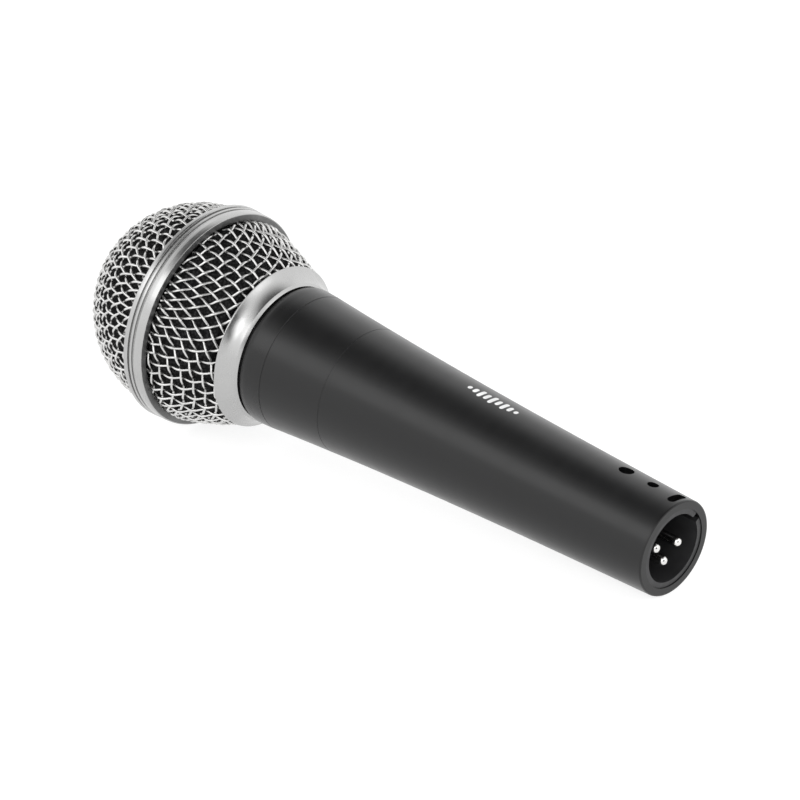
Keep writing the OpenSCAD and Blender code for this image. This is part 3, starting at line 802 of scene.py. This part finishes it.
def printed_bar(name, z, length):
    """A thin bar with round ends, bent to the handle. Its width runs along the axis, its length round it."""
    across = np.sin(np.linspace(-math.pi / 2, math.pi / 2, 17)) * length / 2
    to_end = np.minimum((length / 2 - np.abs(across)) / (BAR_W / 2), 1.0)
    half = np.maximum(np.sqrt(1 - (1 - to_end) ** 2) * BAR_W / 2, 0.05)
    edge = np.vstack([np.stack([half, across], -1), np.stack([-half, across], -1)[::-1]])
    layers = []
    for lift in (-MARK_T, MARK_T):
        r = handle_r(z + edge[:, 0]) + lift
        angle = MARK_TURN + edge[:, 1] / r
        layers.append(np.stack([r * np.cos(angle), -r * np.sin(angle), z + edge[:, 0]], -1))
    n = len(edge)
    k = np.arange(n)
    j = (k + 1) % n
    sides = np.stack([k, j, n + j, n + k], -1)
    # each of the two faces is filled by strips, one for each pair of opposite points
    i = np.arange(n // 2 - 1)
    outer = np.stack([n + i, n + i + 1, 2 * n - 2 - i, 2 * n - 1 - i], -1)
    inner = np.stack([n - 1 - i, n - 2 - i, i + 1, i], -1)
    faces = np.vstack([sides, outer, inner])
    piece = new_piece(name, place(np.vstack(layers)), faces, MARK, "handle", smooth=False)
    even_faces(piece)


for i, length in enumerate(BAR_LENGTHS):
    printed_bar(f"level_bar_{i + 1}", MARK_Z + (i - len(BAR_LENGTHS) // 2) * BAR_PITCH, length)

# ---- camera ----

AZIMUTH = math.radians(41.72)
ELEVATION = math.radians(24.74)
DISTANCE = 1.56873  # metres from the middle of the object's box
MOVE_RIGHT = 0.00181  # metres that the camera stands off the line through that middle
MOVE_DOWN = 0.00404

toward_camera = Vector((
    math.sin(AZIMUTH) * math.cos(ELEVATION),
    -math.cos(AZIMUTH) * math.cos(ELEVATION),
    math.sin(ELEVATION),
))
right = Vector((math.cos(AZIMUTH), math.sin(AZIMUTH), 0.0))
up = toward_camera.cross(right)
lowest, highest = cad_box
middle = (lowest + highest) / 2

camera = bpy.data.objects.new("camera", bpy.data.cameras.new("camera"))
scene.collection.objects.link(camera)
camera.data.lens = 315
camera.data.sensor_width = 36
camera.data.clip_start = 0.1
camera.data.clip_end = 20
camera.location = middle + toward_camera * DISTANCE + right * MOVE_RIGHT - up * MOVE_DOWN
camera.rotation_mode = "QUATERNION"
camera.rotation_quaternion = toward_camera.to_track_quat("Z", "Y")
scene.camera = camera

# ---- floor ----

FLOOR = 6.0
floor = bpy.data.objects.new("floor", bpy.data.meshes.new("floor"))
corners = [(-FLOOR, -FLOOR, 0), (FLOOR, -FLOOR, 0), (FLOOR, FLOOR, 0), (-FLOOR, FLOOR, 0)]
floor.data.from_pydata(corners, [], [(0, 1, 2, 3)])
scene.collection.objects.link(floor)
floor_finish = Nodes("pale_floor", (0.33, 0.33, 0.33), 0.9, specular=0.05)
floor_finish.vary_color(floor_finish.noise(3, 2), 0.995, 1.0)
floor_finish.set("Emission Color", (1.0, 1.0, 1.0, 1.0))
floor_finish.set("Emission Strength", 0.83)
floor.data.materials.append(floor_finish.material)

# ---- light: a bright wall all round with one darker side, a dark ceiling, and three soft lamps ----

WALL = 1.3
# brightness by the sine of the elevation
CEILING = ((0.0, 1.0), (0.70, 1.0), (0.80, 0.72), (0.86, 0.42), (0.91, 0.14), (1.0, 0.09))
# behind the camera, to the right: brightness by the cosine of the angle from its middle
DARK_SIDE = (0.92, -0.35, 0.15)
DARK_EDGE = ((0.90, 1.0), (0.965, 0.0))

world = bpy.data.worlds.new("studio")
scene.world = world
world.use_nodes = True
sky = world.node_tree
heading = sky.nodes.new("ShaderNodeTexCoord")

height = sky.nodes.new("ShaderNodeSeparateXYZ")
falloff = sky.nodes.new("ShaderNodeValToRGB")
falloff.color_ramp.interpolation = "CARDINAL"
fill_ramp(falloff, CEILING)
sky.links.new(heading.outputs["Generated"], height.inputs["Vector"])
sky.links.new(height.outputs["Z"], falloff.inputs["Fac"])

toward = sky.nodes.new("ShaderNodeVectorMath")
toward.operation = "DOT_PRODUCT"
toward.inputs[1].default_value = Vector(DARK_SIDE).normalized()
dark_side = sky.nodes.new("ShaderNodeValToRGB")
fill_ramp(dark_side, DARK_EDGE)
sky.links.new(heading.outputs["Generated"], toward.inputs[0])
sky.links.new(toward.outputs["Value"], dark_side.inputs["Fac"])

shade = sky.nodes.new("ShaderNodeVectorMath")
shade.operation = "MULTIPLY"
sky.links.new(falloff.outputs["Color"], shade.inputs[0])
sky.links.new(dark_side.outputs["Color"], shade.inputs[1])
sky.links.new(shade.outputs["Vector"], sky.nodes["Background"].inputs["Color"])
sky.nodes["Background"].inputs["Strength"].default_value = WALL

# name, place, size and power: metres and watts
LAMPS = (
    ("left", (-0.2, -1.36, 1.08), (2.0, 0.8), 5.2),
    ("right", (1.15, -1.05, 0.78), (0.8, 0.7), 2.8),
    ("far", (1.42, 0.5, 0.95), (0.7, 0.7), 1.3),
)
AIM = Vector((0, 0, 0.02))
for name, location, size, power in LAMPS:
    lamp = bpy.data.objects.new(name, bpy.data.lights.new(name, "AREA"))
    lamp.data.shape = "RECTANGLE"
    lamp.data.size, lamp.data.size_y = size
    lamp.data.energy = power
    lamp.location = location
    lamp.rotation_mode = "QUATERNION"
    lamp.rotation_quaternion = (Vector(location) - AIM).to_track_quat("Z", "Y")
    scene.collection.objects.link(lamp)

scene.view_settings.view_transform = "Standard"
